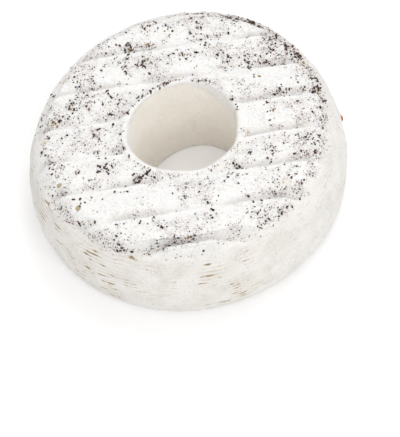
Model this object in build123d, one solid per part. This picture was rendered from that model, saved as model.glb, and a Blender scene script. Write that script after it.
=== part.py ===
"""Ring-shaped wheel of soft-ripened cheese: one solid, resting flat, with its axis along +Z.

The paste is moulded in a ring with a funnel-shaped bore. It slumps while it ripens, so that the
side bellies out below half height and no outline stays truly round. It is turned on a rack, whose
bars press shallow channels across the top. Sizes are in millimetres.
"""
from build123d import *
import math
import os

# Overall size of the ring.
wheel_diameter = 200.0  # across the belly, the widest line of the side
wheel_height = 68.0  # from the rest face to the crown of the top

# Outer side.
belly_height = 29.0  # height of the widest line above the rest face
foot_inset = 5.0  # how far inside the belly the side meets the rest face
top_inset = 12.5  # how far inside the belly the side meets the top
foot_radius = 14.0
shoulder_radius = 10.0

# Top.
crown = 1.3  # how far the middle of the top stands above its two edges

# Bore, which is wider at the top than at the foot.
bore_top_diameter = 66.6
bore_foot_diameter = 59.0
bore_swell = 1.6  # how far the bore's wall bellies into the hole
rim_radius = 5.4
rim_lean = 3.6  # how much more the rim is rounded at its softest side, and less across from it
rim_lean_direction = 285.0
bore_foot_radius = 4.0

# Unevenness of a soft cheese, as waves that run round the ring. Each has its number of crests, how far
# it strays in mm, and the direction of one crest, in degrees from +X.
outline_waves = ((2, 0.9, 39.0), (3, 0.6, 68.0), (5, 0.25, 44.0))
height_waves = ((2, 0.4, 100.0), (3, 0.3, 20.0), (5, 0.2, 10.0))
bore_waves = ((1, 1.45, 328.0), (2, 1.1, 0.0), (3, 0.7, 63.0))

# Marks of the rack: round bars, pressed into the top side by side.
bar_pitch = 24.5
bar_radius = 4.0
bar_sink = 1.6  # how deep a bar goes in below the crown
bar_angle = -6.0  # direction of the bars, in degrees from +X
bar_offset = 13.0  # distance of the bar nearest the axis from the axis

# How the solid is made.
skirt = 0.4 * min(foot_radius, bore_foot_radius)  # shaped below the rest face, then cut off
arc_count = 4  # lofts that make up the ring
sections_per_arc = 7


def strayed(angle, waves):
    """How far an outline strays from a true circle or plane at an angle in degrees."""
    return sum(size * math.cos(math.radians(count * (angle - crest))) for count, size, crest in waves)

def rounded(face, corner, radius):
    """The face with its vertex at the corner rounded."""
    return face.fillet_2d(radius, [face.vertices().sort_by_distance(corner)[0]])


def section(angle):
    """The outline of the ring cut along one radius, standing upright at that angle."""
    belly = wheel_diameter / 2 + strayed(angle, outline_waves)
    height = wheel_height + strayed(angle, height_waves)
    bore_top = bore_top_diameter / 2 + strayed(angle, bore_waves)
    bore_foot = bore_foot_diameter / 2 + strayed(angle, bore_waves)
    rim_here = rim_radius + rim_lean * math.cos(math.radians(angle - rim_lean_direction))
    edge_height = height - crown

    foot = (belly - foot_inset, -skirt)
    shoulder = (belly - top_inset, edge_height)
    rim = (bore_top, edge_height)
    bore_end = (bore_foot, -skirt)
    top_middle = ((shoulder[0] + rim[0]) / 2, height)
    bore_middle = ((bore_top + bore_foot) / 2 - bore_swell, (edge_height - skirt) / 2)

    side = ThreePointArc(foot, (belly, belly_height), shoulder)
    top = ThreePointArc(shoulder, top_middle, rim)
    bore = ThreePointArc(rim, bore_middle, bore_end)
    base = Line(bore_end, foot)
    face = Face(Wire([side, top, bore, base]))
    for corner, radius in (
        (foot, foot_radius),
        (shoulder, shoulder_radius),
        (rim, rim_here),
        (bore_end, bore_foot_radius),
    ):
        face = rounded(face, corner, radius)

    turn = math.radians(angle)
    outward = (math.cos(turn), math.sin(turn), 0)
    upright = Plane(origin=(0, 0, 0), x_dir=outward, z_dir=(math.sin(turn), -math.cos(turn), 0))
    return upright.from_local_coords(face).outer_wire()


def ring():
    """The ring as moulded and slumped, cut flat where it rests."""
    arc = 360 / arc_count
    step = arc / (sections_per_arc - 1)
    solid = None
    for index in range(arc_count):
        start = index * arc
        piece = Solid.make_loft([section(start + step * n) for n in range(sections_per_arc)])
        solid = piece if solid is None else solid + piece
    wide = 2 * wheel_diameter
    below = Box(wide, wide, 2 * skirt, align=(Align.CENTER, Align.CENTER, Align.MAX))
    return solid - below


def rack_bars():
    """The bars of the rack, lying across the crown where they press into it."""
    reach = wheel_diameter / 2
    lowest = math.ceil((-reach - bar_offset) / bar_pitch)
    highest = math.floor((reach - bar_offset) / bar_pitch)
    axis_height = wheel_height - bar_sink + bar_radius
    bars = []
    for index in range(lowest, highest + 1):
        bar = Rot(0, 90, 0) * Cylinder(bar_radius, 2 * wheel_diameter)
        bars.append(Rot(0, 0, bar_angle) * Pos(0, bar_offset + index * bar_pitch, axis_height) * bar)
    return bars


def wheel():
    """The ring with the rack's channels, set so that the middle of its foot print is the origin."""
    solid = ring()
    for bar in rack_bars():
        solid = solid - bar
    box = solid.bounding_box()
    return Pos(-box.center().X, -box.center().Y, -box.min.Z) * solid


os.makedirs("parts", exist_ok=True)
cheese = wheel()
export_step(cheese, "parts/cheese_wheel.step")
print("volume, litres:", round(cheese.volume / 1e6, 3), "size, mm:", cheese.bounding_box().size)
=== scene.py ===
"""Ring-shaped wheel of soft-ripened cheese: its bloomy rind, the ash and cracked pepper on top, and a
sliver of dried berry on its side. Sizes are in millimetres until they are written to a mesh in metres.
"""

import math

import bpy
from mathutils import Matrix, Vector, noise


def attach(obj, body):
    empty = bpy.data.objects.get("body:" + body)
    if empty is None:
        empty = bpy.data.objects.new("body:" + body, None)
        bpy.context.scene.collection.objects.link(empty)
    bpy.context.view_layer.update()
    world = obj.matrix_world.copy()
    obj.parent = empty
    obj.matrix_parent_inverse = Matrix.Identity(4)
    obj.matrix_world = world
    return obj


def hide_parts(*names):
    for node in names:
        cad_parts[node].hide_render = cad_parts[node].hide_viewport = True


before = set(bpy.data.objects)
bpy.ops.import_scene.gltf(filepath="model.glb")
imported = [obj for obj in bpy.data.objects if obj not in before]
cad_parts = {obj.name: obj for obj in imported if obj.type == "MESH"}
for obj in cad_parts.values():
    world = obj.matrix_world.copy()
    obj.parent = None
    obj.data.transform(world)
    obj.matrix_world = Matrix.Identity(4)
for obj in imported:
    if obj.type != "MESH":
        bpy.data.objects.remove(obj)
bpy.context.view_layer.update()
bpy.ops.object.select_all(action="DESELECT")


# Form of the wheel
# The curd is drained in a ring mould and turned on a rack, and the soft paste then slumps, so that the
# side bellies out and no outline stays truly round. One outline is drawn and turned round the axis.

MM = 0.001  # metres in a millimetre

belly_radius = 100.0
wheel_height = 68.0
foot_inset = 5.0
top_inset = 12.5
belly_bow = 8.4  # how far the side stands out beyond a straight line from foot to shoulder
crown = 1.3
bore_top_radius = 33.3
bore_foot_radius = 29.5
bore_swell = 1.6
rim_rounding = 5.4
rim_lean = 3.6  # how much more the rim is rounded at its softest side, and less across from it
rim_lean_direction = 285.0
sink = 1.6  # the ring is drawn this far below its rest face, then pressed flat
shoulder_rounding = 10.0
bore_foot_rounding = 4.0
foot_rounding = 14.0

# Waves that run round the ring: number of crests, how far they stray, and the direction of one crest.
outline_waves = ((2, 0.9, 39.0), (3, 0.6, 68.0), (5, 0.25, 44.0))
height_waves = ((2, 0.4, 100.0), (3, 0.3, 20.0), (5, 0.2, 10.0))
bore_waves = ((1, 1.45, 328.0), (2, 1.1, 0.0), (3, 0.7, 63.0))

# How many spaces each side and each corner of the outline is divided into.
side_spaces, top_spaces, bore_spaces, base_spaces = 68, 42, 22, 7
shoulder_spaces, rim_spaces, bore_foot_spaces, foot_spaces = 16, 10, 4, 12
columns = 540  # sections round the wheel


def strayed(angle, waves):
    """How far an outline strays from a true circle or plane at an angle in degrees."""
    return sum(size * math.cos(math.radians(count * (angle - crest))) for count, size, crest in waves)


def bowed(start, end, bow, share):
    """A point on the shallow bow from start to end, and the direction of travel there."""
    across = end - start
    outward = Vector((across.y, -across.x)).normalized()
    point = start + across * share + outward * 4 * bow * share * (1 - share)
    travel = across + outward * 4 * bow * (1 - 2 * share)
    return point, travel.normalized()


def rim_rounding_at(angle):
    """How much the rim of the bore is rounded at an angle in degrees."""
    return rim_rounding + rim_lean * math.cos(math.radians(angle - rim_lean_direction))


def section(angle):
    """The outline of the ring cut along one radius: radius and height of each point in turn."""
    belly = belly_radius + strayed(angle, outline_waves)
    edge_height = wheel_height + strayed(angle, height_waves) - crown
    hole = strayed(angle, bore_waves)
    rim_here = rim_rounding_at(angle)
    foot = Vector((belly - foot_inset, -sink))
    shoulder = Vector((belly - top_inset, edge_height))
    rim = Vector((bore_top_radius + hole, edge_height))
    bore_end = Vector((bore_foot_radius + hole, -sink))
    # Each side, and the rounding of the corner where it ends.
    sides = (
        (foot, shoulder, belly_bow, side_spaces, shoulder_rounding, shoulder_spaces),
        (shoulder, rim, crown, top_spaces, rim_here, rim_spaces),
        (rim, bore_end, bore_swell, bore_spaces, bore_foot_rounding, bore_foot_spaces),
        (bore_end, foot, 0.0, base_spaces, foot_rounding, foot_spaces),
    )
    # By how much the direction turns at each corner, and where its rounding cuts off the sides.
    turns = []
    for index, side in enumerate(sides):
        following = sides[(index + 1) % len(sides)]
        turns.append(bowed(*side[:3], 1.0)[1].angle(bowed(*following[:3], 0.0)[1]))
    cuts = [side[4] * math.tan(turn / 2) for side, turn in zip(sides, turns)]
    points = []
    for index, (start, end, bow, spaces, rounding, corner_spaces) in enumerate(sides):
        following = (index + 1) % len(sides)
        first = cuts[index - 1] / (end - start).length
        last = 1 - cuts[index] / (end - start).length
        for number in range(spaces):
            points.append(bowed(start, end, bow, first + (last - first) * number / spaces)[0])
        begin, arriving = bowed(start, end, bow, last)
        next_start, next_end, next_bow = sides[following][:3]
        finish, leaving = bowed(
            next_start, next_end, next_bow, cuts[index] / (next_end - next_start).length
        )
        # Bezier handles of this length make the rounding nearly a circular arc.
        handle = 4 / 3 * math.tan(turns[index] / 4) * rounding
        for number in range(corner_spaces):
            t = number / corner_spaces
            points.append(
                begin * (1 - t) ** 3
                + (begin + arriving * handle) * 3 * t * (1 - t) ** 2
                + (finish - leaving * handle) * 3 * t * t * (1 - t)
                + finish * t**3
            )
    return points


sections = [section(360 * column / columns) for column in range(columns)]
bpy.ops.mesh.primitive_circle_add(vertices=len(sections[0]), radius=MM)
rind = bpy.context.object
rind.name = "rind"
row_of = rind.data.attributes.new("row", "INT", "POINT").data
for row, (vertex, point) in enumerate(zip(rind.data.vertices, sections[0])):
    vertex.co = (point.x * MM, 0, point.y * MM)
    row_of[row].value = row
# A Screw modifier turns the outline round the axis. Its faces always come in the same order, which the
# strewing of the crumbs needs, and those of the spin operator don't.
turned = rind.modifiers.new("turned", "SCREW")
turned.angle = math.tau
turned.steps = columns
turned.render_steps = columns
bpy.ops.object.modifier_apply(modifier="turned")
bpy.ops.object.mode_set(mode="EDIT")
bpy.ops.mesh.select_all(action="SELECT")
bpy.ops.mesh.normals_make_consistent(inside=False)
bpy.ops.object.mode_set(mode="OBJECT")

for vertex, row in zip(rind.data.vertices, rind.data.attributes["row"].data):
    turn = math.atan2(vertex.co.y, vertex.co.x) % math.tau
    column = round(turn / math.tau * columns) % columns
    angle = math.tau * column / columns
    radius, height = sections[column][row.value]
    vertex.co = (radius * math.cos(angle) * MM, radius * math.sin(angle) * MM, max(height, 0) * MM)
rind.data.attributes.remove(rind.data.attributes["row"])
# The middle of the foot print is the origin.
middle = Vector((0, 0, 0))
for axis in (0, 1):
    places = [vertex.co[axis] for vertex in rind.data.vertices]
    middle[axis] = (max(places) + min(places)) / 2
rind.data.transform(Matrix.Translation(-middle))
rind.data.update()


def rise(value, low, high):
    """0 up to low, 1 from high, and smooth between them."""
    share = min(max((value - low) / (high - low), 0), 1)
    return share * share * (3 - 2 * share)


# Marks and skin of the wheel
# The rack's bars press shallow channels across the top, and the paste swells up between them. The
# mould wrinkles over it, more on the top than on the side, and stays smooth inside the bore.

bar_pitch = 24.5
bar_offset = 13.0  # from the axis to the middle of the nearest channel
bar_turn = math.radians(6.0)
faint_bar = 3  # the last channel towards +Y, which hardly touched the rack
channel_depth = 1.9
steep_width = 1.2  # from the middle of a channel to where it is a third as deep, towards -Y
gentle_width = 2.5  # and towards +Y
lip_height = 0.5  # of the paste pushed up beside a channel
lip_place = -2.7
lip_width = 1.4
pillow = 0.45  # how far the paste between two channels stands above its edges
ridge_pitch = 2.9  # of the fine ridges that the ribbed wall of the form leaves round the side
ridge_height = 0.22


def patchy(x, y, z, size, seed):
    """Smooth unevenness from -1 to 1 whose blotches are about as large as size."""
    return noise.noise(Vector((x / size + seed, y / size - 2.7 * seed, z / size + 5.1 * seed)))


def falloff(distance, reach):
    """1 at no distance, about a third at reach, and soon nothing beyond it."""
    return math.exp(-((distance / reach) ** 2))


def across_bars(x, y):
    """How far towards +Y a point lies from the middle of the nearest channel, the number of that
    channel, and how far along it the point is.
    """
    along = x * math.cos(bar_turn) - y * math.sin(bar_turn)
    across = x * math.sin(bar_turn) + y * math.cos(bar_turn)
    across += 1.1 * patchy(along, across, 0, 30, 3.0) - bar_offset
    number = round(across / bar_pitch)
    return across - number * bar_pitch, number, along


def ridges(x, y, z):
    """How many ridges up the side a point lies."""
    return (z + 1.4 * patchy(x, y, z, 32, 8.1) + 0.9 * patchy(x, y, z, 9, 2.6)) / ridge_pitch


# What is only on the top fades out where the shoulder turns down, from 64 to about 52 mm up.
normals = [vertex.normal.copy() for vertex in rind.data.vertices]
top_group = rind.vertex_groups.new(name="top")
side_group = rind.vertex_groups.new(name="side")
bore_group = rind.vertex_groups.new(name="bore")
for vertex, normal in zip(rind.data.vertices, normals):
    x, y, z = (value / MM for value in vertex.co)
    radius = math.hypot(x, y)
    hole = bore_top_radius + strayed(math.degrees(math.atan2(y, x)), bore_waves)
    top = rise(z, 54, 64) * rise(radius - hole, 1.5, 6) * (1 - rise(radius, 91, 96))
    side = rise(radius, 80, 88) * rise(z, 2, 8)
    bore = (1 - rise(radius - hole, 3, 9)) * rise(z, 1, 6) * (1 - top)
    off, number, along = across_bars(x, y)
    # The bars pressed unevenly along their length.
    press = 0.35 + 0.75 * rise(patchy(along, 9 * number, 0, 26, 1.3), -0.4, 0.15)
    press *= 0.3 if number == faint_bar else 1.0
    channel = falloff(off, steep_width if off < 0 else gentle_width)
    channel = press * (channel_depth * channel - lip_height * falloff(off - lip_place, lip_width))
    swell = pillow * (1 - math.cos(math.tau * off / bar_pitch)) / 2 - pillow - lip_height
    ribs = ridge_height * math.cos(math.tau * ridges(x, y, z))
    ribs *= rise(patchy(x, y, z, 15, 4.4), -0.3, 0.3) * (1 - rise(z, 50, 60))
    shoulder = rise(radius, 82, 88) * (1 - rise(radius, 93, 98)) * rise(z, 50, 60)
    cut = top * (1 - rise(radius, 84, 91)) + 1.2 * shoulder
    move = top * swell - cut * channel + side * (ribs - ridge_height)
    vertex.co += normal * move * MM
    top_group.add([vertex.index], top, "REPLACE")
    side_group.add([vertex.index], side, "REPLACE")
    bore_group.add([vertex.index], bore, "REPLACE")


def roughen(piece, name, size, height, group, level=1.0):
    """Moves the surface unevenly, in blotches of that size, over a range of about that height. Level 1
    sinks it from where it was, and level 0.5 moves it as much outwards as inwards.
    """
    texture = bpy.data.textures.new(name, "CLOUDS")
    texture.noise_scale = size * MM
    texture.noise_basis = "IMPROVED_PERLIN"
    texture.noise_depth = 1
    modifier = piece.modifiers.new(name, "DISPLACE")
    modifier.texture = texture
    modifier.texture_coords = "LOCAL"
    modifier.strength = height * MM
    modifier.mid_level = level
    modifier.vertex_group = group
    bpy.ops.object.modifier_apply(modifier=name)


roughen(rind, "lumps", 17, 1.8, "top")
roughen(rind, "wrinkles", 6.0, 1.1, "top")
roughen(rind, "felt", 2.4, 0.55, "top")
roughen(rind, "slump", 15, 1.9, "side")
roughen(rind, "pores", 4.0, 0.35, "side")
roughen(rind, "folds", 16, 2.2, "bore", 0.5)

bpy.ops.object.shade_smooth()


# Where the ash and the pepper lie
# Both are sprinkled on by hand before the mould grows. They stay thickest in heaps, along the back of
# each channel, on the shoulder and at the rim of the bore, and the mould has grown over the rest.

# Heaps of pepper: their middle, how far they reach, and how thick they lie.
heaps = (
    (-19, 66, 3.2, 2.0), (-33, 73, 5, 0.35), (-12, 54, 5, 0.45), (11, 51, 4, 0.6), (27, 57, 3, 0.6),
    (-28, 55, 4, 0.4), (-47, 50, 8, 0.35), (-52, 37, 5.5, 0.9), (-41, 34, 3.5, 0.7), (-63, 30, 6, 0.55),
    (-72, 27, 5, 0.5), (-34, 30, 2.2, 0.8), (-50, 6, 4.0, 1.0), (-52, -6, 2.6, 2.6),
    (-51, -18, 4.0, 1.2), (-38, -6, 2.4, 1.2), (-34, -30, 3, 0.9), (-81, -6, 2.8, 1.4),
    (-84, 7, 2.6, 1.0), (-80, 16, 4, 0.5), (-70, 10, 5, 0.35), (-48, -63, 5, 0.5), (-30, -67, 5, 0.5),
    (34, 46, 4, 0.8), (50, 36, 5.5, 1.2), (40, 41, 3, 0.6), (67, 44, 7, 0.45), (79, 43, 3.6, 1.9),
    (85, 29, 2.8, 1.8), (77, 36, 5, 0.5), (70, 27, 3, 0.6), (88, 8, 2.8, 4.5), (64, 8, 3.2, 1.1),
    (58, 4, 3, 0.4), (73, -3, 2, 0.7), (36, 4, 1.8, 3.0), (84, -14, 3, 0.9), (50, 73, 7, 0.5),
    (60, 66, 3, 0.9), (24, 80, 3, 0.8), (15, 74, 1.8, 0.9), (17, 66, 1.8, 0.8), (27, 70, 1.8, 0.7),
    (20, 62, 2.2, 0.8), (2, 84, 4, 0.3), (27, -42, 5, 0.7), (52, -34, 5, 0.8), (8, -66, 5, 0.5),
    (60, -56, 5, 0.9), (33, -76, 4, 0.6), (-8, -50, 4, 0.5), (72, -30, 4, 0.5), (-16, -82, 4, 0.5),
    (44, -62, 3, 0.8), (-68, -50, 3, 0.7),
)
# Rows of pepper: both ends, how far they reach, and how thick they lie.
rows = (
    (-33, 61, -16, 57, 1.6, 0.7), (-13, 53, 20, 50, 1.8, 0.7), (35, 78, 27, 77, 1.2, 1.0),
    (27, 77, 25, 70, 1.2, 1.0), (20, 71, 23, 62, 1.8, 0.6), (89, 6, 90, -2, 1.8, 1.8),
    (84, 31, 77, 45, 2.0, 1.0), (-8, 79, -2, 81, 1.8, 0.7), (-62, 35, -46, 38, 2.0, 0.6),
    (-44, -38, -39, -39, 1.1, 1.0), (89, -9, 86, -22, 1.6, 0.9), (-56, 52, -50, 58, 4, 0.3),
    (-32, -32, -24, -28, 1.6, 0.6),
)
# Smooth places where the mould has closed over everything, and places where it came off the paste.
smooth_patches = (
    (-37, 52, 5.5), (-50, -48, 15), (-20, -52, 10), (-64, -6, 6), (62, 19, 9), (44, -6, 12), (64, -12, 6),
    (8, 42, 6), (24, 40, 5), (-64, 42, 5), (-22, 38, 5), (14, 70, 3), (20, -62, 8),
)
bare_patches = ((-71, -41.5, 1.9, 1.7), (-79.5, -21.5, 1.7, 1.5))
stains = ((-63, 55, 2.2), (-75, 24, 2.4), (82, 28, 2.6), (35, 2, 2.0), (-83, 13, 1.8), (55, -58, 2.5))


def apart(turn, direction):
    """How many degrees one direction lies from another, from -180 to 180."""
    return (turn - direction + 180) % 360 - 180


def rim_edge(turn):
    """How far from the axis the edge between the top and the bore lies at an angle in degrees."""
    return bore_top_radius + strayed(turn, bore_waves) + 0.45 * rim_rounding_at(turn)


def shoulder_share(turn):
    """How thick the pepper lies on the shoulder at an angle in degrees."""
    drifts = ((15, 38, 1.0), (58, 16, 0.5), (225, 24, 0.55), (308, 30, 0.6), (158, 12, 0.25))
    share = 0.1
    for middle_turn, reach, thick in drifts:
        share += thick * falloff(apart(turn, middle_turn), reach)
    return share


def sprinkled(x, y, z):
    """How thick the pepper lies at a point, about 0 to 1."""
    radius = math.hypot(x, y)
    turn = math.degrees(math.atan2(y, x))
    off, number, along = across_bars(x, y)
    # A thin dusting all over, more along the back of each channel, and most on the shoulder.
    lie = 0.05 + 0.1 * rise(patchy(x, y, 0, 13, 2.2), -0.1, 0.45)
    lie *= 1 - rise(radius, 84, 88) * (1 - min(shoulder_share(turn), 1))
    lie += 0.4 * falloff(off - 2.6, 1.6) * rise(patchy(along, 7 * number, 0, 14, 6.6), -0.05, 0.4)
    lie += shoulder_share(turn) * falloff(radius - 89 - 0.8 * patchy(x, y, 0, 8, 1.2), 2.0)
    # A line of it round the rim of the bore, and all of it in clumps a few millimetres wide.
    edge = rim_edge(turn)
    rim = 0.25 + 1.3 * falloff(apart(turn, 115), 45) + 0.9 * falloff(apart(turn, 12), 16)
    clump = 0.08 + 2.6 * rise(patchy(x, y, 0, 2.8, 12.5), 0.04, 0.4)
    lie = lie * clump + (0.5 + 0.5 * clump) * rim * falloff(radius - edge, 0.8)
    for heap_x, heap_y, reach, thick in heaps:
        lie += (0.3 + 0.7 * clump) * thick * falloff(math.hypot(x - heap_x, y - heap_y), reach)
    for start_x, start_y, end_x, end_y, reach, thick in rows:
        run_x, run_y = end_x - start_x, end_y - start_y
        share = ((x - start_x) * run_x + (y - start_y) * run_y) / (run_x * run_x + run_y * run_y)
        share = min(max(share, 0), 1)
        away = math.hypot(x - start_x - share * run_x, y - start_y - share * run_y)
        lie += (0.3 + 0.7 * clump) * thick * falloff(away, reach)
    # Little stays where the mould has closed over it, or on the lip in front of a channel.
    for patch_x, patch_y, reach in smooth_patches:
        lie *= 1 - 0.9 * falloff(math.hypot(x - patch_x, y - patch_y), reach)
    lie *= 1 - 0.75 * falloff(off + 2.2, 1.5)
    return lie * rise(z, 54, 61) * rise(radius - edge, -1.3, -0.5)


def ashy(x, y, z, pepper):
    """How much ash shows through the mould at a point, about 0 to 1."""
    radius = math.hypot(x, y)
    turn = math.degrees(math.atan2(y, x))
    off, number, along = across_bars(x, y)
    # Drifts of it all over, more along the channels, with the pepper, and on the shoulder.
    lie = 0.26 + 0.4 * patchy(x, y, 0, 19, 7.7) + 0.4 * patchy(x, y, 0, 6, 1.9)
    lie *= 1 - rise(radius, 84, 88) * (1 - min(shoulder_share(turn), 1))
    lie += 0.5 * falloff(off - 2.2, 2.0) * rise(patchy(along, 7 * number, 0, 14, 6.6), -0.3, 0.3)
    lie += 0.55 * pepper + 0.5 * shoulder_share(turn) * falloff(radius - 90, 3.5)
    lie += 0.8 * falloff(apart(turn, -147), 22) * falloff(radius - 90.5, 3.0)
    # Less ash on the lip in front of each channel: its felt is smooth, and the whiter band there is also
    # a painted highlight along the lip.
    lie -= 0.4 * falloff(off + 2.4, 2.0)
    edge = rim_edge(turn)
    lie += 0.9 * falloff(apart(turn, 105), 60) * falloff(radius - edge - 0.3, 0.9)
    for patch_x, patch_y, reach in smooth_patches:
        lie -= 0.6 * falloff(math.hypot(x - patch_x, y - patch_y), reach)
    only_top = rise(z, 52, 61) * rise(radius - edge, -0.9, 0) * (1 - rise(radius, 92, 96))
    return min(max(lie, 0), 1) * only_top


def chafed(x, y, z):
    """How often the felt is rubbed through between the ridges of the side at a point, 0 to 1."""
    turn = math.degrees(math.atan2(y, x))
    share = 0.15 + 0.9 * falloff(apart(turn, -147), 34) + 0.6 * rise(patchy(x, y, 0, 60, 5.3), 0.0, 0.4)
    share *= 0.5 + 0.9 * rise(patchy(x, y, z, 14, 6.2), -0.2, 0.3)
    return share * rise(z, 6, 12) * (1 - rise(z, 52, 61)) * rise(math.hypot(x, y), 80, 86)


def felt_depth(turn):
    """How far the white felt reaches down into the bore at an angle in degrees."""
    return 0.8 + 9 * falloff(apart(turn, 26), 32) + 9 * falloff(apart(turn, 205), 42)


# Painted on every point of the rind, for the crumbs to be strewn by and for the rind's material.
painted = {}
for name in ("pepper", "ash", "groove", "bare", "stain", "felted", "chafed", "ridge", "inner"):
    painted[name] = []
for vertex in rind.data.vertices:
    x, y, z = (value / MM for value in vertex.co)
    radius = math.hypot(x, y)
    pepper = sprinkled(x, y, z)
    painted["pepper"].append(pepper)
    painted["ash"].append(ashy(x, y, z, pepper))
    turn = math.degrees(math.atan2(y, x))
    inside = radius - rim_edge(turn)
    felt_reach = felt_depth(turn)
    # The bore's skin gets a cream colour lighter than the side's. This is partly the paste showing
    # through thinner felt and partly painted light against the shade inside the bore.
    inner = rise(wheel_height - crown - z, felt_reach, 1.4 * felt_reach + 2) * (1 - rise(inside, 3, 7))
    painted["inner"].append(inner)
    painted["felted"].append(rise(z, 52, 63) * (1 - inner))
    off, number, along = across_bars(x, y)
    # Painted shade: a grey tint in the foot and along the far wall of each channel, where the felt lies
    # in shade.
    groove = 0.5 * falloff(off - 1.5, 1.8) + falloff(off - 0.1, 0.9)
    groove *= rise(patchy(along, 9 * number, 0, 26, 1.3), -0.3, 0.25)
    painted["groove"].append(groove * rise(z, 54, 62) * rise(inside, 1, 4))
    painted["chafed"].append(chafed(x, y, z))
    painted["ridge"].append(ridges(x, y, z))
    bare = 0
    for patch_x, patch_y, reach_x, reach_y in bare_patches:
        bare = max(bare, 1.4 - math.hypot((x - patch_x) / reach_x, (y - patch_y) / reach_y))
    painted["bare"].append(min(bare, 1) * rise(z, 50, 60))
    stain = max(falloff(math.hypot(x - spot_x, y - spot_y), reach) for spot_x, spot_y, reach in stains)
    painted["stain"].append(stain * rise(z, 50, 60))
for name, values in painted.items():
    rind.data.attributes.new(name, "FLOAT", "POINT").data.foreach_set("value", values)


# Bloomy rind
# White mould grown as a felt on drained curd: matt, a little downy, and thin enough for the cream of
# the paste to show where it was folded or rubbed. Ash shows through it as grey specks and fine curls.

def paint(code):
    """An sRGB hex colour as linear red, green, blue and alpha."""
    parts = [int(code[place:place + 2], 16) / 255 for place in (1, 3, 5)]
    return [p / 12.92 if p <= 0.04045 else ((p + 0.055) / 1.055) ** 2.4 for p in parts] + [1.0]


def add_node(tree, kind, settings, values):
    """Adds a node, sets its settings, and fills its sockets with values or links from other nodes."""
    node = tree.nodes.new(kind)
    for name, value in settings.items():
        setattr(node, name, value)
    for name, value in values.items():
        if isinstance(value, bpy.types.NodeSocket):
            tree.links.new(value, node.inputs[name])
        else:
            node.inputs[name].default_value = value
    return node


bloom = bpy.data.materials.new("bloomy_rind")
bloom.use_nodes = True
tree = bloom.node_tree
tree.nodes.clear()
where = add_node(tree, "ShaderNodeTexCoord", {}, {}).outputs["Object"]
multiply = {"operation": "MULTIPLY"}
smooth = {"interpolation_type": "SMOOTHSTEP"}
shares = {}  # how much of each look there is at a point, 0 to 1
for name in painted:
    shares[name] = add_node(tree, "ShaderNodeAttribute", {"attribute_name": name}, {}).outputs["Fac"]

# Blotches: how wide they are in millimetres, their detail and distortion, the noise where they start to
# count and where they count in full, and what they are worth there.
blotches = {
    "drifts": (13, 3, 0.0, 0.4, 0.65, 0.0, 1.0),
    "thin spots": (1.7, 3, 0.5, 0.47, 0.66, 0.0, 1.0),
    "thin places": (11, 2, 0.0, 0.35, 0.6, 0.2, 0.7),
    "creases": (1.3, 4, 0.8, 0.5, 0.62, 0.0, 1.0),
    "creased places": (9, 2, 0.0, 0.4, 0.6, 0.15, 1.0),
    "veil": (2.8, 4, 0.4, 0.42, 0.6, 0.0, 1.0),
    "whey": (1.5, 2, 0.0, 0.4, 0.6, 0.0, 1.0),
}
for name, (width, detail, distortion, low, high, least, most) in blotches.items():
    values = {"Vector": where, "Scale": 1 / (width * MM), "Detail": detail, "Distortion": distortion}
    cloud = add_node(tree, "ShaderNodeTexNoise", {}, values).outputs["Fac"]
    values = {"Value": cloud, "From Min": low, "From Max": high, "To Min": least, "To Max": most}
    shares[name] = add_node(tree, "ShaderNodeMapRange", smooth, values).outputs["Result"]

# Fine curls, where ash has stayed in the creases of the felt: thin lines along the middle of a noise.
values = {"Vector": where, "Scale": 1 / (1.9 * MM), "Detail": 2, "Distortion": 1.6}
cloud = add_node(tree, "ShaderNodeTexNoise", {}, values).outputs["Fac"]
line = add_node(tree, "ShaderNodeMath", {"operation": "PINGPONG"}, {0: cloud, 1: 0.5}).outputs["Value"]
values = {"Value": line, "From Min": 0.45, "From Max": 0.5}
shares["curls"] = add_node(tree, "ShaderNodeMapRange", smooth, values).outputs["Result"]
values = {"Value": shares["ash"], "From Min": 0.08, "From Max": 0.65}
shares["ash in curls"] = add_node(tree, "ShaderNodeMapRange", smooth, values).outputs["Result"]

# Single flecks of ash under the felt, more of them where the ash is thick.
cells = add_node(tree, "ShaderNodeTexVoronoi", {}, {"Vector": where, "Scale": 1 / (1.1 * MM)}).outputs
lot = add_node(tree, "ShaderNodeSeparateColor", {}, {"Color": cells["Color"]}).outputs["Red"]
chance = add_node(tree, "ShaderNodeMath", multiply, {0: shares["ash"], 1: 0.4}).outputs["Value"]
chosen = add_node(tree, "ShaderNodeMath", {"operation": "LESS_THAN"}, {0: lot, 1: chance})
shares["chosen flecks"] = chosen.outputs["Value"]
values = {"Value": cells["Distance"], "From Min": 0.2, "From Max": 0.36, "To Min": 1.0, "To Max": 0.0}
shares["flecks"] = add_node(tree, "ShaderNodeMapRange", smooth, values).outputs["Result"]

# The bare places, with a ragged edge.
values = {"Vector": where, "Scale": 1 / (1.6 * MM), "Detail": 2}
ragged = add_node(tree, "ShaderNodeTexNoise", {}, values).outputs["Fac"]
torn = add_node(tree, "ShaderNodeMath", {"operation": "ADD"}, {0: shares["bare"], 1: ragged})
values = {"Value": torn.outputs["Value"], "From Min": 0.85, "From Max": 1.0}
shares["torn"] = add_node(tree, "ShaderNodeMapRange", smooth, values).outputs["Result"]

# The side is all that is neither the felted top nor the skin of the bore.
values = {0: shares["felted"], 1: shares["inner"]}
other = add_node(tree, "ShaderNodeMath", {"operation": "MAXIMUM"}, values).outputs["Value"]
side = add_node(tree, "ShaderNodeMath", {"operation": "SUBTRACT"}, {0: 1.0, 1: other})
shares["side"] = side.outputs["Value"]

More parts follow.
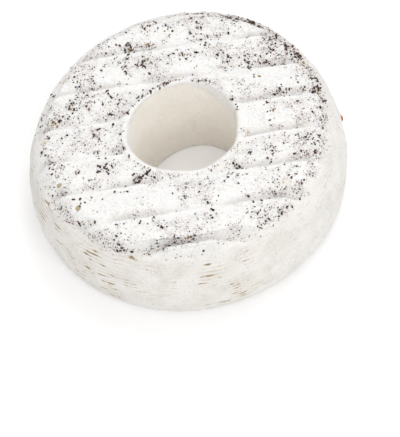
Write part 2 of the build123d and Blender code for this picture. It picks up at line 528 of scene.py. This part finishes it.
# Short dashes in the hollows between the ridges, where the felt is rubbed through. The noise is read
# 37 mm further up for each hollow than for the last, so that their dashes don't line up.
values = {0: shares["ridge"], 1: 0.5}
hollow = add_node(tree, "ShaderNodeMath", {"operation": "PINGPONG"}, values).outputs["Value"]
row = add_node(tree, "ShaderNodeMath", {"operation": "FLOOR"}, {0: shares["ridge"]}).outputs["Value"]
row_height = add_node(tree, "ShaderNodeMath", multiply, {0: row, 1: 37.0 * MM}).outputs["Value"]
spot = add_node(tree, "ShaderNodeSeparateXYZ", {}, {"Vector": where}).outputs
staggered = add_node(tree, "ShaderNodeCombineXYZ", {}, {"X": spot["X"], "Y": spot["Y"], "Z": row_height})
values = {"Vector": staggered.outputs["Vector"], "Scale": 1 / (7.0 * MM), "Detail": 2}
run = add_node(tree, "ShaderNodeTexNoise", {}, values).outputs["Fac"]
values = {"Value": shares["chafed"], "To Min": -0.56, "To Max": -0.18}
rubbed = add_node(tree, "ShaderNodeMapRange", smooth, values).outputs["Result"]
dash = add_node(tree, "ShaderNodeMath", {"operation": "MULTIPLY_ADD"}, {0: hollow, 1: 0.7, 2: run})
worn = add_node(tree, "ShaderNodeMath", {"operation": "ADD"}, {0: dash.outputs["Value"], 1: rubbed})
for name, value, low, high in (
    ("pale dashes", worn.outputs["Value"], 0.57, 0.68),
    ("dark dashes", worn.outputs["Value"], 0.65, 0.73),
    # painted shade in the hollows between the ridges
    ("hollows", hollow, 0.1, 0.4),
):
    values = {"Value": value, "From Min": low, "From Max": high}
    shares[name] = add_node(tree, "ShaderNodeMapRange", smooth, values).outputs["Result"]

# What is laid over the bare colour of the felt, in turn: its colour, how strong it is, and the shares
# that together say where it shows. Tan is whey from the paste, and ochre is the dried paste itself.
layers = (
    ("#e6e3dd", 1.0, ("drifts",)),
    # cream of the bore's skin, lightened as painted light
    ("#faf4eb", 1.0, ("inner",)),
    ("#f6f5f3", 1.0, ("felted",)),
    ("#dcd9d5", 1.0, ("thin spots", "thin places", "felted")),
    # grey painted shade in the channels
    ("#c6bfba", 0.5, ("groove",)),
    ("#c9c3bb", 0.5, ("creases", "creased places", "side")),
    ("#cfc6c1", 0.4, ("veil", "ash")),
    ("#8f7f78", 0.7, ("curls", "ash in curls")),
    ("#857b75", 0.8, ("flecks", "chosen flecks")),
    ("#d8c8a4", 1.0, ("whey", "stain")),
    ("#b3a887", 1.0, ("torn",)),
    ("#c4ae86", 0.85, ("pale dashes",)),
    ("#7f6038", 0.95, ("dark dashes",)),
    # painted shade in the hollows, tan where the felt is rubbed through
    ("#d5cbb8", 0.25, ("hollows", "chafed")),
)
# The bare colour, which the side keeps, is a greyer white than the felt of the top. Part of that step is
# painted shade on the side.
colour = paint("#efece8")
for code, strength, names in layers:
    share = strength
    for name in names:
        share = add_node(tree, "ShaderNodeMath", multiply, {0: share, 1: shares[name]}).outputs["Value"]
    mixed = add_node(tree, "ShaderNodeMix", {"data_type": "RGBA"}, {0: share, 6: colour, 7: paint(code)})
    colour = mixed.outputs[2]

# The down of the felt: single tufts, and the clumps that they stand in.
down = 0.0
for width, detail, distortion, height in ((0.9, 3, 0.0, 1.0), (2.4, 3, 0.5, 1.4)):
    values = {"Vector": where, "Scale": 1 / (width * MM), "Detail": detail, "Distortion": distortion}
    tufts = add_node(tree, "ShaderNodeTexNoise", {}, values).outputs["Fac"]
    down = add_node(tree, "ShaderNodeMath", {"operation": "MULTIPLY_ADD"}, {0: tufts, 1: height, 2: down})
    down = down.outputs["Value"]
bump = add_node(tree, "ShaderNodeBump", {}, {"Height": down, "Strength": 0.9, "Distance": 0.45 * MM})
skin = add_node(tree, "ShaderNodeBsdfPrincipled", {}, {
    "Base Color": colour,
    "Normal": bump.outputs["Normal"],
    "Roughness": 0.92,
    "Specular IOR Level": 0.25,
    "Subsurface Weight": 0.3,
    "Subsurface Radius": (1.0, 0.9, 0.75),
    "Subsurface Scale": 2.5 * MM,
    "Sheen Weight": 0.2,
    "Sheen Roughness": 0.7,
})
add_node(tree, "ShaderNodeOutputMaterial", {}, {"Surface": skin.outputs["BSDF"]})
rind.data.materials.append(bloom)
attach(rind, "root")
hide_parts("cheese_wheel")


# Cracked pepper and ash flakes
# Peppercorns cracked between stones give hard, angular crumbs, dark outside and paler where they broke.
# The ash is burnt vine wood in much finer flakes. Both are strewn by hand and lie half sunk in the felt.

def crumb(name, size, stretch, seed):
    """One angular crumb about as wide as size, to be copied over the cheese."""
    bpy.ops.mesh.primitive_ico_sphere_add(subdivisions=1, radius=size * MM / 2)
    piece = bpy.context.object
    piece.name = name
    for vertex in piece.data.vertices:
        wear = 1 + 0.38 * noise.noise(vertex.co / (size * MM) * 1.7 + Vector((seed, 2.3, 4.1)))
        vertex.co = Vector((vertex.co.x * stretch, vertex.co.y, vertex.co.z * 0.75)) * wear
    return piece


def strewn(name, crumbs, material, attribute, density, smallest, largest, skew, seed):
    """Scatters crumbs over a copy of the rind in one mesh, with the density per square millimetre where
    the attribute is 1. The more skew, the more of them are near the smallest size.
    """
    stock = bpy.data.collections.new(name + "_stock")
    bpy.context.scene.collection.children.link(stock)
    for piece in crumbs:
        piece.data.materials.append(material)
        bpy.context.scene.collection.objects.unlink(piece)
        stock.objects.link(piece)
    scattered = bpy.data.objects.new(name, rind.data.copy())
    bpy.context.scene.collection.objects.link(scattered)
    modifier = scattered.modifiers.new("strew", "NODES")
    tree = bpy.data.node_groups.new(name + "_strewing", "GeometryNodeTree")
    tree.interface.new_socket("Geometry", in_out="INPUT", socket_type="NodeSocketGeometry")
    tree.interface.new_socket("Geometry", in_out="OUTPUT", socket_type="NodeSocketGeometry")
    modifier.node_group = tree
    surface = add_node(tree, "NodeGroupInput", {}, {}).outputs["Geometry"]
    thick = add_node(tree, "GeometryNodeInputNamedAttribute", {"data_type": "FLOAT"}, {"Name": attribute})
    values = {0: thick.outputs["Attribute"], 1: density / MM**2}
    per_area = add_node(tree, "ShaderNodeMath", multiply, values)
    points = add_node(
        tree, "GeometryNodeDistributePointsOnFaces", {"distribute_method": "RANDOM"},
        {"Mesh": surface, "Density": per_area.outputs["Value"], "Seed": seed},
    )
    stocked = add_node(
        tree, "GeometryNodeCollectionInfo", {"transform_space": "RELATIVE"},
        {"Collection": stock, "Separate Children": True, "Reset Children": True},
    )
    turn = add_node(
        tree, "FunctionNodeRandomValue", {"data_type": "FLOAT_VECTOR"},
        {"Min": (-0.5, -0.5, 0), "Max": (0.5, 0.5, math.tau), "Seed": seed + 1},
    )
    chance = add_node(
        tree, "FunctionNodeRandomValue", {"data_type": "FLOAT"}, {2: 0.0, 3: 1.0, "Seed": seed + 2}
    )
    skewed = add_node(tree, "ShaderNodeMath", {"operation": "POWER"}, {0: chance.outputs[1], 1: skew})
    scale = add_node(
        tree, "ShaderNodeMapRange", {},
        {"Value": skewed.outputs["Value"], "To Min": smallest, "To Max": largest},
    )
    laid = add_node(
        tree, "FunctionNodeRotateEuler", {"space": "LOCAL"},
        {"Rotation": points.outputs["Rotation"], "Rotate By": turn.outputs[0]},
    )
    copies = add_node(tree, "GeometryNodeInstanceOnPoints", {}, {
        "Points": points.outputs["Points"],
        "Instance": stocked.outputs["Instances"],
        "Pick Instance": True,
        "Rotation": laid.outputs["Rotation"],
        "Scale": scale.outputs["Result"],
    })
    tone = add_node(
        tree, "FunctionNodeRandomValue", {"data_type": "FLOAT"}, {2: 0.0, 3: 1.0, "Seed": seed + 3}
    )
    toned = add_node(
        tree, "GeometryNodeStoreNamedAttribute", {"data_type": "FLOAT", "domain": "INSTANCE"},
        {"Geometry": copies.outputs["Instances"], "Name": "tone", "Value": tone.outputs[1]},
    )
    real = add_node(tree, "GeometryNodeRealizeInstances", {}, {"Geometry": toned.outputs["Geometry"]})
    add_node(tree, "NodeGroupOutput", {}, {"Geometry": real.outputs["Geometry"]})
    bpy.ops.object.select_all(action="DESELECT")
    scattered.select_set(True)
    bpy.context.view_layer.objects.active = scattered
    bpy.ops.object.modifier_apply(modifier="strew")
    for piece in crumbs:
        bpy.data.objects.remove(piece)
    bpy.data.collections.remove(stock)
    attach(scattered, "root")


# The outside of a corn is nearly black, its broken shell brown or dark red, and its heart tan. Burnt wood
# is brown black, and greyer where more of it has burnt to ash. Both are dry, so they have no gloss.
corn_shades = (
    (0.0, "#1f1411"), (0.8, "#54392f"), (0.86, "#5a1f1c"), (0.92, "#4c3a2e"), (0.98, "#94794e")
)
ash_shades = ((0.0, "#3a2620"), (1.0, "#93786c"))
dusts = {}
for name, shades, roughness in (("cracked_pepper", corn_shades, 0.75), ("vine_ash", ash_shades, 0.9)):
    dust = bpy.data.materials.new(name)
    dust.use_nodes = True
    tree = dust.node_tree
    tree.nodes.clear()
    tone = add_node(tree, "ShaderNodeAttribute", {"attribute_name": "tone"}, {}).outputs["Fac"]
    ramp = add_node(tree, "ShaderNodeValToRGB", {}, {"Fac": tone})
    while len(ramp.color_ramp.elements) < len(shades):
        ramp.color_ramp.elements.new(1.0)
    for element, (place, code) in zip(ramp.color_ramp.elements, shades):
        element.position = place
        element.color = paint(code)
    values = {"Base Color": ramp.outputs["Color"], "Roughness": roughness}
    dull = add_node(tree, "ShaderNodeBsdfPrincipled", {}, values)
    add_node(tree, "ShaderNodeOutputMaterial", {}, {"Surface": dull.outputs["BSDF"]})
    dusts[name] = dust

# A corn's crumbs are chunky and an ash flake's long. Both are 1 mm wide before they are scaled.
corns = [crumb("corn_%d" % number, 1.0, 1.0 + 0.25 * number, 3.7 * number) for number in range(4)]
strewn("cracked_pepper", corns, dusts["cracked_pepper"], "pepper", 0.37, 0.55, 1.65, 1.6, 11)
flakes = [crumb("flake_%d" % number, 1.0, 1.3 + 0.6 * number, 5.9 * number) for number in range(2)]
strewn("ash_flakes", flakes, dusts["vine_ash"], "ash", 0.4, 0.35, 0.8, 1.3, 29)


# Sliver of berry skin
# The paste holds chopped berries. One shred of skin was pressed into the side of the wheel and stands a
# little proud of the felt: thin, curled, orange red and waxy.

bpy.ops.mesh.primitive_ico_sphere_add(subdivisions=4, radius=MM)
shred = bpy.context.object
shred.name = "berry_shred"
shred_turn = 2.4  # degrees round from +X
shred_middle = 29.5  # above the base
shred_length, shred_width, shred_thickness = 7.0, 2.4, 2.4
bpy.context.view_layer.update()
for vertex in shred.data.vertices:
    # The sphere's own axes become outwards, up and along the side, thinner towards one end and curled.
    out, up, along = vertex.co / MM
    taper = 0.95 - 0.7 * rise(along, -0.2, 0.5) + 0.12 * noise.noise(vertex.co / MM * 1.6)
    turn = math.radians(shred_turn) + along * shred_length / 2 / belly_radius
    height = shred_middle + up * taper * shred_width / 2 + 0.7 * along + 0.5 * along**2
    outward = Vector((math.cos(turn), math.sin(turn), 0))
    start = outward * 2 * belly_radius + Vector((0, 0, height))
    place = rind.ray_cast(start * MM, -outward)[1]
    vertex.co = place + outward * (0.1 + out) * taper * shred_thickness / 2 * MM
bpy.ops.object.mode_set(mode="EDIT")
bpy.ops.mesh.select_all(action="SELECT")
bpy.ops.mesh.normals_make_consistent(inside=False)
bpy.ops.object.mode_set(mode="OBJECT")
bpy.ops.object.shade_smooth()

# Dark red at the torn root, orange along the middle and pale where the flesh shows at the tip. The wax
# on the skin leaves it a soft gloss.
peel = bpy.data.materials.new("berry_skin")
peel.use_nodes = True
tree = peel.node_tree
tree.nodes.clear()
where = add_node(tree, "ShaderNodeTexCoord", {}, {}).outputs["Object"]
along_shred = add_node(tree, "ShaderNodeSeparateXYZ", {}, {"Vector": where}).outputs["Y"]
colour = paint("#8a1c00")
for code, start, end in (("#cc6a08", 1.6, 3.2), ("#e6cf9c", 4.0, 5.2)):
    values = {"Value": along_shred, "From Min": start * MM, "From Max": end * MM}
    share = add_node(tree, "ShaderNodeMapRange", smooth, values).outputs["Result"]
    mixed = add_node(tree, "ShaderNodeMix", {"data_type": "RGBA"}, {0: share, 6: colour, 7: paint(code)})
    colour = mixed.outputs[2]
values = {"Base Color": colour, "Roughness": 0.5, "Specular IOR Level": 0.3}
waxy = add_node(tree, "ShaderNodeBsdfPrincipled", {}, values)
add_node(tree, "ShaderNodeOutputMaterial", {}, {"Surface": waxy.outputs["BSDF"]})
shred.data.materials.append(peel)
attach(shred, "root")


# Studio
# A wide table and a backdrop, both plain matt white so that only the wheel's soft shadow marks them. A
# soft box behind it and a weaker one in front of it light the wheel, with an even sky all round.

bpy.ops.mesh.primitive_plane_add(size=12, location=(0, 0, -0.1 * MM))
table = bpy.context.object
table.name = "table"
white = paint("#ffffff")
card = bpy.data.materials.new("white_card")
card.use_nodes = True
tree = card.node_tree
tree.nodes.clear()
ray = add_node(tree, "ShaderNodeLightPath", {}, {}).outputs["Is Camera Ray"]
glow = add_node(tree, "ShaderNodeMapRange", {}, {"Value": ray, "To Min": 0.0, "To Max": 0.16})
matt = add_node(tree, "ShaderNodeBsdfPrincipled", {}, {
    "Base Color": paint("#f3f3f3"),
    "Roughness": 0.9,
    "Specular IOR Level": 0.0,
    "Emission Color": white,
    "Emission Strength": glow.outputs["Result"],
})
add_node(tree, "ShaderNodeOutputMaterial", {}, {"Surface": matt.outputs["BSDF"]})
table.data.materials.append(card)

sky = bpy.data.worlds.new("sky")
bpy.context.scene.world = sky
sky.use_nodes = True
tree = sky.node_tree
tree.nodes.clear()
ray = add_node(tree, "ShaderNodeLightPath", {}, {}).outputs["Is Camera Ray"]
bright = add_node(tree, "ShaderNodeMapRange", {}, {"Value": ray, "To Min": 0.745, "To Max": 1.0})
haze = add_node(tree, "ShaderNodeBackground", {}, {"Color": white, "Strength": bright.outputs["Result"]})
add_node(tree, "ShaderNodeOutputWorld", {}, {"Surface": haze.outputs["Background"]})

# Each lamp: its name, place, width and power, all turned to the middle of the wheel.
for name, place, width, power in (
    ("soft_box", (0.5, 0.6, 1.6), 0.9, 6.8), ("fill", (0.25, -1.3, 1.25), 1.2, 9.0)
):
    bpy.ops.object.light_add(type="AREA", location=place)
    lamp = bpy.context.object
    lamp.name = name
    lamp.data.shape = "DISK"
    lamp.data.size = width
    lamp.data.energy = power
    lamp.rotation_euler = (Vector((0, 0, 0.03)) - lamp.location).to_track_quat("-Z", "Y").to_euler()

# Camera
# A long lens far off, which looks down on the wheel from the front and is rolled a little, so that the
# near side of the wheel seems to lean to the right.
lift = math.radians(56)
roll = math.radians(13.25)
reach = 2600.0
aim_right, aim_up = -4.4, 21.2  # from the middle of the view to the middle of the foot
forward = Vector((0, math.cos(lift), -math.sin(lift)))
level = Vector((1, 0, 0))
upright = Vector((0, math.sin(lift), math.cos(lift)))
right = level * math.cos(roll) - upright * math.sin(roll)
up = level * math.sin(roll) + upright * math.cos(roll)
place = (-forward * reach - right * aim_right - up * aim_up) * MM
camera_data = bpy.data.cameras.new("camera")
camera = bpy.data.objects.new("camera", camera_data)
bpy.context.scene.collection.objects.link(camera)
camera_data.sensor_width = 36
camera_data.lens = 342.3
camera.matrix_world = Matrix.Translation(place) @ Matrix((right, up, -forward)).transposed().to_4x4()
bpy.context.scene.camera = camera
bpy.context.scene.view_settings.view_transform = "Standard"
